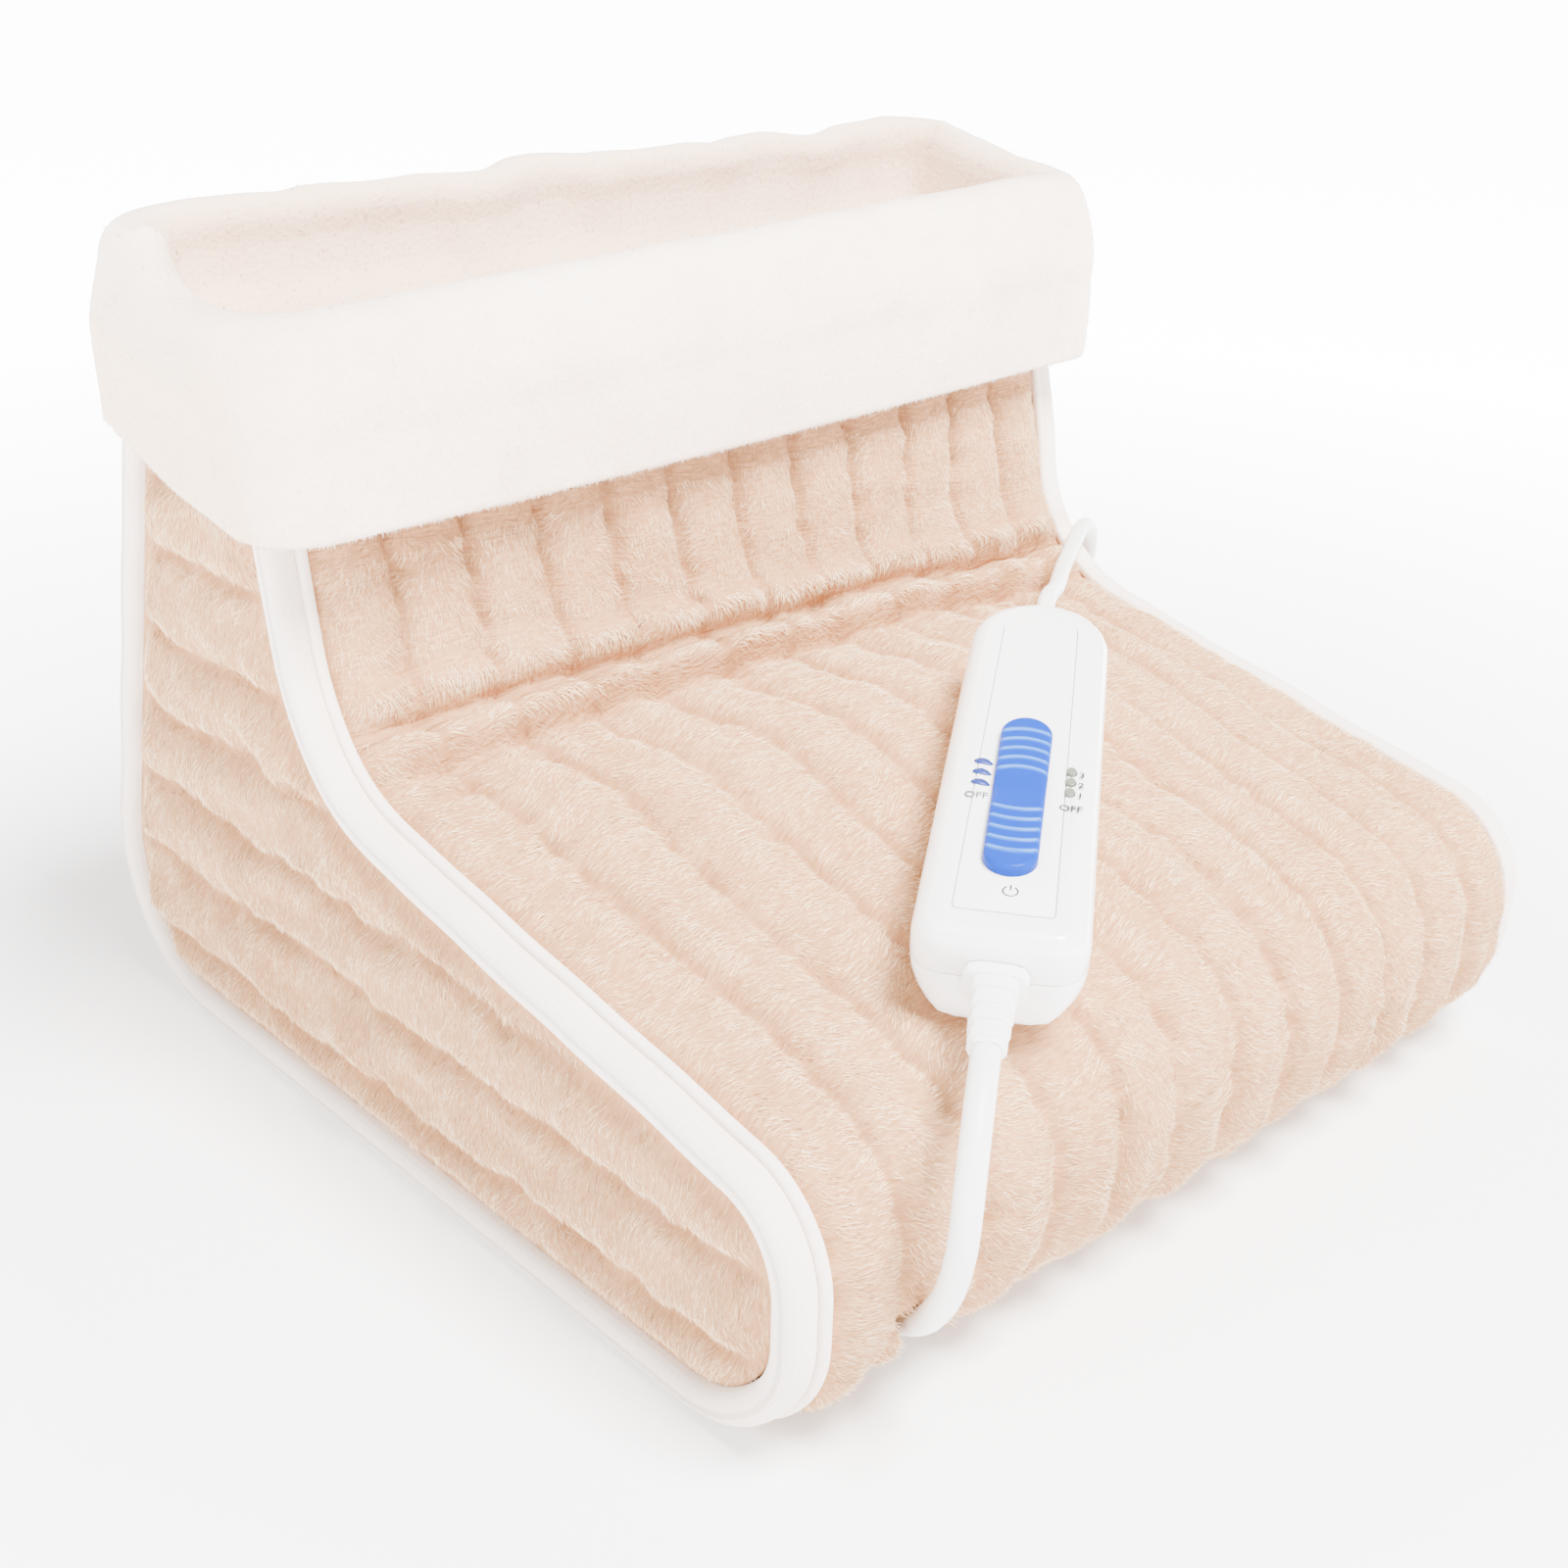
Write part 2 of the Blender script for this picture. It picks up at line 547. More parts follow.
def inner_columns(half):
    """Fewer places for the plain inner face, with points beside the groove."""
    plain = np.linspace(-half, half, INNER_COLUMNS + 1)
    groove = GROOVE_X + COLUMN * np.array((-2, -1, 1, 2))
    keep = np.abs(plain - GROOVE_X) > CHANNEL_WIDTH * GROOVE_CLEAR_SHARE
    return np.sort(np.concatenate((plain[keep], groove)))


def groove_share(station, x):
    """1 over the lead, 0 two columns away from it."""
    return np.clip(2 - np.abs(x - GROOVE_X + DENT_SHIFTS[station]) / COLUMN, 0, 1)


def outer_offsets(station, x):
    """How far inward of the outline the quilted face lies: crown, channels, rolls and dent."""
    shares = np.array(CHANNEL_SHARES)[np.arange(len(x)) % len(CHANNEL_SHARES)]
    shares[-1] = shares[0]
    crown = 1 - (x / BAND_HALF) ** 2
    bulge = CROWNS[station] * crown + CHANNELS[station] * shares + ROLLS[station] * np.sqrt(crown)
    return DROPS[station] - bulge * (1 - groove_share(station, x) * (DENTS[station] > 0)) \
        + DENTS[station] * groove_share(station, x)


def inner_offsets(station, x, base):
    """The inner face follows the crown and rises over the lead."""
    crown = CROWNS[station] * (1 - (x / BAND_HALF) ** 2)
    lift = max(DENTS[station] + GROOVE_WALL - base, 0)
    return base - crown + lift * groove_share(station, x)


def band_points(station, x, offsets):
    y, z = OUTLINE.places[station]
    ny, nz = OUTLINE.normals[station]
    return [(float(a), float(y + ny * d), float(z + nz * d)) for a, d in zip(x, offsets)]


def slab(name, outer_rows, inner_rows, finish):
    """A padded sheet from rows of outer points and rows of inner points."""
    points, faces = [], []
    wide, narrow, rows = len(outer_rows[0]), len(inner_rows[0]), len(outer_rows)
    for row in outer_rows + inner_rows:
        points += row
    inner = wide * rows
    for r in range(rows - 1):
        for start, count in ((0, wide), (inner, narrow)):
            for k in range(count - 1):
                a = start + r * count + k
                faces.append((a, a + 1, a + count + 1, a + count))
        for o, i in ((0, 0), (wide - 1, narrow - 1)):
            faces.append((r * wide + o, (r + 1) * wide + o, inner + (r + 1) * narrow + i,
                          inner + r * narrow + i))
    for r in (0, rows - 1):
        edge = [r * wide + k for k in range(wide)]
        back = [inner + r * narrow + k for k in range(narrow)]
        faces.append(tuple(edge + back[::-1]))
    return solid(name, points, faces, finish)


def end_shift(rows, shift):
    """Moves one end row back by half the seam's gap, along the outline."""
    (first, second) = (0, 1) if shift > 0 else (-1, -2)
    here, there = np.array(rows[first]), np.array(rows[second])
    if here.shape == there.shape:
        step = (there - here) / np.linalg.norm(there - here, axis=1)[:, None]
        rows[first] = [tuple(p) for p in here + step * GAP]


def panel(name, first, last):
    """One quilted outer panel between two stations of the outline."""
    x_out, x_in = outer_columns(), inner_columns(BAND_HALF)
    stations = range(first, last + 1)
    outer = [band_points(k, x_out, outer_offsets(k, x_out)) for k in stations]
    inner = [band_points(k, x_in, inner_offsets(k, x_in, PANEL_THICK)) for k in stations]
    for rows in (outer, inner):
        end_shift(rows, 1)
        end_shift(rows, -1)
    return slab(name, outer, inner, FLEECE)


def lining(name, first, last):
    """One lining panel inside the outer ones, or over the heater at the sole."""
    half = BAND_HALF - LINING_THICK - GAP
    x = np.linspace(-half, half, INNER_COLUMNS + 1)
    stations = range(first, last + 1)
    rows = []
    for thick in (0, LINING_THICK):
        rows.append([band_points(k, x, LINING_OFFSETS[k] + thick + lining_crown(k, x)) for k in stations])
    for part in rows:
        end_shift(part, 1)
        end_shift(part, -1)
    return slab(name, rows[0], rows[1], PLUSH)


def lining_crown(station, x):
    """The lining stays a little flatter than the panel, so that the two never cross."""
    crown = CROWNS[station] * (1 - (x / BAND_HALF) ** 2)
    spare = CROWNS[station] / INNER_COLUMNS ** 2
    return spare - crown


def levelled(line, height):
    """Slides both ends of an open outline along their last straight to one height."""
    line = np.array(line)
    for end, before in ((0, 1), (-1, -2)):
        along = line[end] - line[before]
        line[end] = line[before] + along * (height - line[before][1]) / along[1]
    return line


def side_panel(side):
    """A side panel with level channels, drawn in at its edge, inside the binding's loop."""
    outer = levelled(OUTLINE.inset(BINDING_SIZE + GAP), PANEL_TOP)
    inner = levelled(OUTLINE.inset(BINDING_SIZE + GAP + SIDE_EDGE_EASE), PANEL_TOP)
    shape = bmesh.new()
    # x is 0 on the edge and 1 where the channels have their full height
    rim = [shape.verts.new((0, y, z)) for y, z in outer]
    field = [shape.verts.new((1, y, z)) for y, z in inner]
    for k in range(len(rim) - 1):
        shape.faces.new((rim[k], rim[k + 1], field[k + 1], field[k]))
    shape.faces.new(field)
    pitch = SIDE_CHANNEL_PITCH / len(SIDE_CHANNEL_SHARES)
    for k in range(1, int(PANEL_TOP / pitch) + 1):
        bmesh.ops.bisect_plane(shape, geom=shape.verts[:] + shape.edges[:] + shape.faces[:],
                               dist=1e-6, plane_co=(0, 0, pitch * k), plane_no=(0, 0, 1))
    for k in range(-2, 3):
        bmesh.ops.bisect_plane(shape, geom=shape.verts[:] + shape.edges[:] + shape.faces[:],
                               dist=1e-6, plane_co=(0, SIDE_WAVE_LENGTH * k / 2, 0), plane_no=(0, 1, 0))
    count = len(SIDE_CHANNEL_SHARES)
    levels = np.arange(int(PANEL_TOP / pitch) + 2) * pitch
    heights = [SIDE_CHANNEL_SHARES[k % count] for k in range(len(levels))]
    face_x = BOOT_WIDTH / 2 - BINDING_SIZE + SIDE_THICK - EDGE_DROP
    back_x = BOOT_WIDTH / 2 - BINDING_SIZE
    for v in shape.verts:
        share = v.co.x
        bulge = SIDE_CHANNEL_DEPTH * float(np.interp(v.co.z, levels, heights))
        phase = v.co.y / SIDE_WAVE_LENGTH + v.co.z / SIDE_CHANNEL_PITCH
        wave = SIDE_CHANNEL_WAVE * math.sin(2 * math.pi * phase)
        v.co.x = side * (face_x + share * (bulge + wave))
    edges = [e for e in shape.edges if e.is_boundary]
    made = bmesh.ops.extrude_edge_only(shape, edges=edges)
    back = [v for v in made["geom"] if isinstance(v, bmesh.types.BMVert)]
    for v in back:
        v.co.x = side * back_x
    loop = [e for e in made["geom"] if isinstance(e, bmesh.types.BMEdge) and e.is_boundary]
    bmesh.ops.contextual_create(shape, geom=loop)
    bmesh.ops.recalc_face_normals(shape, faces=shape.faces)
    name = "side_panel_left" if side < 0 else "side_panel_right"
    mesh = bpy.data.meshes.new(name)
    shape.to_mesh(mesh)
    shape.free()
    mesh.shade_smooth()
    mesh.set_sharp_from_angle(angle=math.radians(40))
    return link(name, mesh, FLEECE)


def side_lining(side):
    line = OUTLINE.inset(LINING_OFFSETS)[OUTLINE.lining_front:OUTLINE.lining_back + 1]
    line = levelled(line, LINING_TOP)
    far = BAND_HALF
    rings = [[(side * x, y, z) for y, z in line] for x in (far - LINING_THICK, far)]
    name = "lining_side_left" if side < 0 else "lining_side_right"
    return solid(name, *lofted(rings), PLUSH, smooth=False)


def binding(side):
    """Rounded tape sewn round the edge of a side panel, open under the cuff."""
    half = BINDING_SIZE / 2
    centre_x = BOOT_WIDTH / 2 - half
    section = []
    for k in range(BINDING_SIDES):
        a = 2 * math.pi * k / BINDING_SIDES
        c, s = math.cos(a), math.sin(a)
        swell = 1 / max(abs(c), abs(s), 1 / math.sqrt(2) * (abs(c) + abs(s)))
        section.append((half + half * c * swell, centre_x + half * s * swell))
    lines = [levelled(OUTLINE.inset(n), PANEL_TOP) for n, _ in section]
    rings = [[(side * x, *line[k]) for line, (_, x) in zip(lines, section)] for k in range(LAST + 1)]
    name = "binding_left" if side < 0 else "binding_right"
    return solid(name, *lofted(rings), TAPE)


# Cuff

def cuff_section(rim, hem, wall, rise, hang, rim_radius, hem_radius):
    """Outer, then inner face of the cuff at one corner: distance from the shaft's outline, height,
    radius of the corner in plan, and the share of the way from the rim down to the lower edge."""
    half = CUFF_THICK / 2
    inside = -(wall + GAP + half)
    base, free = LINING_TOP + GAP, PANEL_TOP + GAP
    top = LINING_TOP + rise - half
    low = LINING_TOP + rise - hang
    fold = CUFF_RIM_WIDTH - CUFF_THICK
    inner, inner_radius = rim - fold, rim_radius - fold
    line = [(inside, base, CUFF_CORNER_INSIDE, 0)]
    line += [(inside + out * (inner - inside), free + up * (top - free),
              CUFF_CORNER_INSIDE + out * (inner_radius - CUFF_CORNER_INSIDE), 0) for out, up in CUFF_FLARE_SHARES]
    line += [(inner + out * fold, free + up * (top - free), inner_radius + out * fold, 0)
             for out, up in CUFF_RIM_SHARES]
    line.append((rim + CUFF_DRAW_SHARE * (hem - rim), top - CUFF_FALL_SHARE * (top - low),
                 rim_radius + CUFF_ROUND_SHARE * (hem_radius - rim_radius), CUFF_ROUND_SHARE))
    line.append((hem, low, hem_radius, 1))
    line = np.array(line)
    steps = np.diff(line[:, :2], axis=0)
    steps = steps / np.linalg.norm(steps, axis=1)[:, None]
    along = np.vstack((steps[:1], steps[:-1] + steps[1:], steps[-1:]))
    along[0], along[-1] = (0, 1), (0, -1)
    along = along / np.linalg.norm(along, axis=1)[:, None]
    thick = np.full(len(line), half)
    thick[-1] = CUFF_HEM_THICK / 2
    across = np.zeros_like(line)
    across[:, :2] = np.stack((-along[:, 1], along[:, 0]), axis=1) * thick[:, None]
    return np.vstack((line + across, (line - across)[::-1]))


def plan_normals():
    """Unit directions round the cuff's plan: four rounded corners and points on the sides."""
    spots = []
    for corner, (sx, sy) in enumerate(CORNER_SIGNS):
        for k in range(CUFF_CORNER_STEPS + 1):
            a = (corner - 1 + k / CUFF_CORNER_STEPS) * math.pi / 2
            spots.append((sx, sy, math.cos(a), math.sin(a)))
        along = np.linspace(1, -1, CUFF_FRONT_RUNS + 1)[1:-1]
        if corner in (1, 3):
            spots += [(sx * t, sy, 0, sy) for t in along]
        else:
            spots.append((sx, 0, sx, 0))
    return spots


def cuff():
    """The four corners have sections of their own, and the sides run evenly from one to the next."""
    half_x = BOOT_WIDTH / 2 - BINDING_SIZE + SIDE_THICK
    forms = (CUFF_RISE, CUFF_HANG, CUFF_RIM_RADIUS, CUFF_HEM_RADIUS)
    ends = np.array([cuff_section(rim, hem, PANEL_THICK, *form)
                     for rim, hem, *form in zip(CUFF_RIM_END, CUFF_HEM_END, *forms)])
    sides = np.array([cuff_section(rim, hem, SIDE_THICK, *form)
                      for rim, hem, *form in zip(CUFF_RIM_SIDE, CUFF_HEM_SIDE, *forms)])
    rings = []
    for k in range(ends.shape[1]):
        ring = []
        for cx, cy, nx, ny in plan_normals():
            weights = np.array([(1 + sx * cx) * (1 + sy * cy) / 4 for sx, sy in CORNER_SIGNS])
            level, flank = weights @ ends[:, k], weights @ sides[:, k]
            corner, down = flank[2], flank[3]
            z = nx * nx * flank[1] + ny * ny * level[1]
            low_y, high_y = OUTLINE.front_y(z), OUTLINE.back_y(z)
            mid, depth = (low_y + high_y) / 2, (high_y - low_y) / 2
            x = cx * (half_x + flank[0] - corner) + nx * corner
            y = mid + cy * (depth + level[0] - corner) + ny * corner
            bow = down * max(1 - (x / half_x) ** 2, 0)
            ring.append((x, y + max(ny, 0) * CUFF_SWELL * bow, z - CUFF_SAG * bow))
        rings.append(ring)
    points = [p for ring in rings for p in ring]
    return solid("cuff", points, ring_faces(0, len(rings[0]), len(rings), closed=True), PLUSH)


# Insole and heater

def sole_span():
    """How far the flat layers over the sole reach along Y."""
    low, high = OUTLINE.places[OUTLINE.sole_start][0], OUTLINE.places[OUTLINE.sole_end][0]
    return low + GAP, high - GAP


def foam_insole():
    low, high = sole_span()
    bottom, top = PANEL_THICK + GAP, PANEL_THICK + GAP + FOAM_THICK
    over = GROOVE_DEPTH + GROOVE_WALL + GAP
    x_in = [-BAND_HALF] + [GROOVE_X + COLUMN * k for k in (-2, -1, 1, 2)] + [BAND_HALF]
    z_in = [bottom, bottom, over, over, bottom, bottom]
    section = list(zip(x_in, z_in)) + [(BAND_HALF, top), (-BAND_HALF, top)]
    rings = [[(x, y, z) for x, z in section] for y in (low, high)]
    return solid("foam_insole", *lofted(rings), FOAM, smooth=False)


def heater():
    low, high = sole_span()
    floor = PANEL_THICK + FOAM_THICK + 2 * GAP
    top = floor + HEATER_CLOTH_THICK
    far = BAND_HALF - HEATER_MARGIN / 2
    solid("heater_cloth", *box((-far, low + GAP, floor), (far, high - GAP, top)), CLOTH, smooth=False)
    z = top + GAP + WIRE_SIZE / 2
    centre_y = (low + high) / 2
    points = []
    left = -(WIRE_RUNS - 1) / 2 * WIRE_RUN_PITCH
    for run in range(WIRE_RUNS):
        x = left + run * WIRE_RUN_PITCH
        way = 1 if run % 2 == 0 else -1
        reach = WIRE_RUN_LENGTH / 2
        points += [(x, centre_y - way * reach, z), (x, centre_y, z), (x, centre_y + way * reach, z)]
        if run < WIRE_RUNS - 1:
            radius = WIRE_RUN_PITCH / 2
            for k in range(1, WIRE_BEND_STEPS):
                a = math.pi * k / WIRE_BEND_STEPS
                turn_y = centre_y + way * (reach + radius * math.sin(a))
                points.append((x + radius * (1 - math.cos(a)), turn_y, z))
    tube("heating_wire", points, WIRE_SIZE, WIRE, resolution=1)
    return left, centre_y, top + GAP


def heater_fittings(left, centre_y, floor):
    """Thermostat beside a run, fuse and junction between the wire's end and the lead's gland."""
    top = floor + HEATER_LAYER - GAP
    right_run = -left
    length, width = THERMOSTAT_SIZE
    x = right_run - WIRE_RUN_PITCH / 2
    solid("overheat_thermostat", *box((x - width / 2, centre_y - length / 2, floor),
                                      (x + width / 2, centre_y + length / 2, top)), DARK, smooth=False)
    end_y = centre_y - WIRE_RUN_LENGTH / 2
    length, width = FUSE_SIZE
    solid("thermal_fuse", *box((right_run - width / 2, end_y - GAP - length, floor),
                               (right_run + width / 2, end_y - GAP, top)), NICKEL, smooth=False)
    width, length = JUNCTION_SIZE
    inside = BAND_HALF - GLAND_TAIL - GAP
    y = GLAND_Y - JUNCTION_SHIFT
    solid("wire_junction", *box((inside - width, y - length / 2, floor), (inside, y + length / 2, top)),
          WHITE_MATTE, smooth=False)


# Cords

def smooth_route(route, spacing):
    """Straight end pieces, and between them points a spacing apart on a centripetal Catmull-Rom curve."""
    route = [np.array(p, float) for p in route]
    fine = []
    for a, b, c, d in zip(route, route[1:], route[2:], route[3:]):
        ta, tb = 0.0, np.linalg.norm(b - a) ** 0.5
        tc = tb + np.linalg.norm(c - b) ** 0.5
        td = tc + np.linalg.norm(d - c) ** 0.5
        for t in np.linspace(tb, tc, 24, endpoint=False):
            ab = (tb - t) / (tb - ta) * a + (t - ta) / (tb - ta) * b
            bc = (tc - t) / (tc - tb) * b + (t - tb) / (tc - tb) * c
            cd = (td - t) / (td - tc) * c + (t - tc) / (td - tc) * d
            abc = (tc - t) / (tc - ta) * ab + (t - ta) / (tc - ta) * bc
            bcd = (td - t) / (td - tb) * bc + (t - tb) / (td - tb) * cd
            fine.append((tc - t) / (tc - tb) * abc + (t - tb) / (tc - tb) * bcd)
    fine = np.array(fine + [route[-2]])
    travel = np.concatenate(([0], np.cumsum(np.linalg.norm(np.diff(fine, axis=0), axis=1))))
    count = max(2, round(travel[-1] / spacing) + 1)
    at = np.linspace(0, travel[-1], count)
    middle = np.stack([np.interp(at, travel, fine[:, k]) for k in range(3)], axis=1)
    points = np.vstack((route[0], middle, route[-1]))
    return points, float(np.linalg.norm(np.diff(points, axis=0), axis=1).sum())


def tube(name, points, diameter, finish, resolution=2, parent=None):
    """A cord or wire: a curve with a round bevel and filled caps."""
    curve = bpy.data.curves.new(name, "CURVE")
    curve.dimensions = "3D"
    spline = curve.splines.new("POLY")
    spline.points.add(len(points) - 1)
    for spot, p in zip(spline.points, points):
        spot.co = (*[float(v) for v in p], 1)
    curve.bevel_depth = diameter / 2
    curve.bevel_resolution = resolution
    curve.use_fill_caps = True
    return link(name, curve, finish, parent)


def cord(name, route, diameter, finish):
    points, length = smooth_route(route, CORD_STEP_SHARE * diameter)
    print(f"{name}: {length:.3f} m, {len(points)} points, tightest bend {tightest(points):.4f} m")
    tube(name, points, diameter, finish)


def tightest(points):
    """Least radius of the circle through three points in a row."""
    a, b, c = points[:-2], points[1:-1], points[2:]
    la, lb, lc = (np.linalg.norm(p - q, axis=1) for p, q in ((a, b), (b, c), (a, c)))
    area = np.linalg.norm(np.cross(b - a, c - a), axis=1)
    return float(np.min(la * lb * lc / np.maximum(2 * area, 1e-12)))


def coil_points():
    """Two layers: in along the floor, up in half a turn at the middle, and out again on top."""
    lift = MAINS_CORD / 2 + TIE_THICK + GAP
    turns = 2 * COIL_TURNS_A_LAYER + 0.5
    count = round(turns * COIL_POINTS_A_TURN)
    points = []
    for k in range(count + 1):
        turn = turns * k / count
        if turn < COIL_TURNS_A_LAYER:
            radius, climb = COIL_RADIUS - COIL_PITCH * turn, 0
        elif turn < COIL_TURNS_A_LAYER + 0.5:
            share = (turn - COIL_TURNS_A_LAYER) * 2
            radius = COIL_RADIUS - COIL_PITCH * COIL_TURNS_A_LAYER - COIL_DIP * math.sin(math.pi * share)
            climb = (1 - math.cos(math.pi * share)) / 2
        else:
            radius = COIL_RADIUS - COIL_PITCH * (turns - turn)
            climb = 1
        a = math.pi - 2 * math.pi * turn
        points.append((COIL_CENTRE[0] + radius * math.cos(a), COIL_CENTRE[1] + radius * math.sin(a),
                       lift + COIL_LAYER * climb))
    points = np.array(points)
    start = points[0] - np.array((0, MAINS_CORD, 0))
    end = points[-1] - np.array((0, MAINS_CORD, 0))
    points = np.vstack((start, points, end))
    return points


def coil_gap(points):
    """Least clear distance between turns of the coil, measured between its points."""
    least = 1.0
    skip = COIL_POINTS_A_TURN // 3
    for k in range(len(points) - skip):
        away = np.linalg.norm(points[k + skip:] - points[k], axis=1)
        least = min(least, float(away.min()))
    return least - MAINS_CORD


def coil():
    points = coil_points()
    print(f"mains_coil: {np.linalg.norm(np.diff(points, axis=0), axis=1).sum():.3f} m,",
          f"least gap to itself {coil_gap(points) * 1000:.2f} mm")
    tube("mains_coil", points, MAINS_CORD, WHITE_MATTE, resolution=1)
    # Tie round all turns, on the coil's far side
    lift = MAINS_CORD / 2 + TIE_THICK + GAP
    near = COIL_RADIUS - COIL_PITCH * COIL_TURNS_A_LAYER - COIL_DIP - MAINS_CORD / 2 - GAP
    far = COIL_RADIUS + MAINS_CORD / 2 + GAP
    low, high = lift - MAINS_CORD / 2 - GAP, lift + COIL_LAYER + MAINS_CORD / 2 + GAP
    section = [(near, low), (far, low), (far, high), (near, high)]
    outer = [(near - TIE_THICK, low - TIE_THICK), (far + TIE_THICK, low - TIE_THICK),
             (far + TIE_THICK, high + TIE_THICK), (near - TIE_THICK, high + TIE_THICK)]
    rings = []
    for loop, y in ((outer, -1), (outer, 1), (section, 1), (section, -1)):
        rings.append([(COIL_CENTRE[0] + y * TIE_WIDTH / 2, COIL_CENTRE[1] + r, z) for r, z in loop])
    flat = [p for ring in rings for p in ring]
    solid("coil_tie", flat, ring_faces(0, 4, 4, closed=True), DARK, smooth=False)
    return points


# Hand control, in its own frame: X from the foot to the head, Y to its left, Z out of its face

def plan(inset, end_inset):
    """The control's outline drawn in by inset: square foot with rounded corners, round head."""
    half_foot, half_head = CONTROL_WIDTH_FOOT / 2 - inset, CONTROL_WIDTH_HEAD / 2 - inset
    corner = max(CONTROL_CORNER - inset, CONTROL_CORNER_LEAST)
    centre = CONTROL_LENGTH - inset - half_head
    points = []
    for k in range(CONTROL_HEAD_STEPS + 1):
        a = -math.pi / 2 + math.pi * k / CONTROL_HEAD_STEPS
        points.append((centre + half_head * math.cos(a), half_head * math.sin(a)))
    for side, start in ((1, math.pi / 2), (-1, math.pi)):
        for k in range(CONTROL_CORNER_STEPS + 1):
            a = start + math.pi / 2 * k / CONTROL_CORNER_STEPS
            points.append((end_inset + corner + corner * math.cos(a),
                           side * (half_foot - corner) + corner * math.sin(a)))
    return points


def at_height(outline, z):
    return [(x, y, z) for x, y in outline]


def shell(outer, inner):
    """A hollow half shell: outer rings from its face to the seam, then inner rings back up."""
    return lofted(outer + inner)


def upper_rings(wall):
    radius, rings = CONTROL_EDGE_RADIUS, []
    low, high = CONTROL_SEAM_HEIGHT, CONTROL_THICK - wall
    for k in range(CONTROL_EDGE_STEPS + 1):
        a = math.pi / 2 * (1 - k / CONTROL_EDGE_STEPS)
        inset = wall + (radius - wall) * (1 - math.cos(a))
        end = wall + (inset - wall) * CONTROL_END_SHARE
        rings.append(at_height(plan(inset, end), high - (radius - wall) * (1 - math.sin(a))))
    rings.append(at_height(plan(wall, wall), low))
    return rings


def lower_rings(wall):
    depth, rings = CONTROL_SEAM_HEIGHT - GAP - wall, []
    span = CONTROL_BELLY_SHARE * CONTROL_WIDTH_FOOT / 2
    for k in range(CONTROL_BELLY_STEPS + 1):
        a = math.pi / 2 * (1 - k / CONTROL_BELLY_STEPS)
        inset = wall + span * (1 - math.cos(a))
        end = wall + (inset - wall) * CONTROL_BELLY_END_SHARE
        rings.append(at_height(plan(inset, end), wall + depth * (1 - math.sin(a))))
    return rings


def belly(across):
    """Height of the lower shell's outer face at a distance from its middle line."""
    half, span = CONTROL_WIDTH_FOOT / 2, CONTROL_BELLY_SHARE * CONTROL_WIDTH_FOOT / 2
    share = np.clip((half - np.abs(across)) / span, 0, 1)
    return CONTROL_SEAM_HEIGHT * (1 - np.sqrt(1 - (1 - share) ** 2))


def control_frame():
    """The control lies on the instep: lowered along its own Z until it almost touches the quilt."""
    turn = Matrix.Rotation(CONTROL_YAW, 4, "Z") @ Matrix.Rotation(-CONTROL_PITCH, 4, "Y")
    start = Matrix.Translation((*CONTROL_FOOT_AT, 0)) @ turn
    x = outer_columns()
    rows = [np.array(band_points(k, x, outer_offsets(k, x)))
            for k in range(OUTLINE.crease, OUTLINE.toe_front + 1)]
    fine = []
    for a, b in zip(rows, rows[1:]):
        for t in np.linspace(0, 1, REST_SAMPLES):
            row = a * (1 - t) + b * t
            fine += [row, (row[1:] + row[:-1]) / 2]
    spots = np.vstack(fine)
    to_local = np.array(start.inverted())
    local = spots @ to_local[:3, :3].T + to_local[:3, 3]
    along, across = local[:, 0], np.abs(local[:, 1])
    under = (across < CONTROL_WIDTH_FOOT / 2) & (along > 0) & (along < CONTROL_LENGTH)
    rise = float(np.max(local[under, 2] - belly(local[under, 1]))) + CONTROL_REST_GAP
    return Matrix.Translation((0, 0, rise / math.cos(CONTROL_PITCH))) @ start


def stadium(start, length, width, steps=5):
    """A slot outline with round ends, along X from start."""
    half, points = width / 2, []
    for centre, first in ((start + length - half, -math.pi / 2), (start + half, math.pi / 2)):
        for k in range(steps + 1):
            a = first + math.pi * k / steps
            points.append((centre + half * math.cos(a), half * math.sin(a)))
    return points


def prism(outline, low, high):
    return lofted([at_height(outline, low), at_height(outline, high)])


def section_ring(x, width, height, z):
    """A rounded rectangle across the control's axis, for collars and reliefs."""
    ring = []
    for k in range(RELIEF_SIDES):
        a = 2 * math.pi * (k + 1 / 2) / RELIEF_SIDES
        c, s = math.cos(a), math.sin(a)
        across = math.copysign(abs(c) ** RELIEF_ROUND_SHARE, c)
        up = math.copysign(abs(s) ** RELIEF_ROUND_SHARE, s)
        ring.append((x, across * width / 2, z + up * height / 2))
    return ring


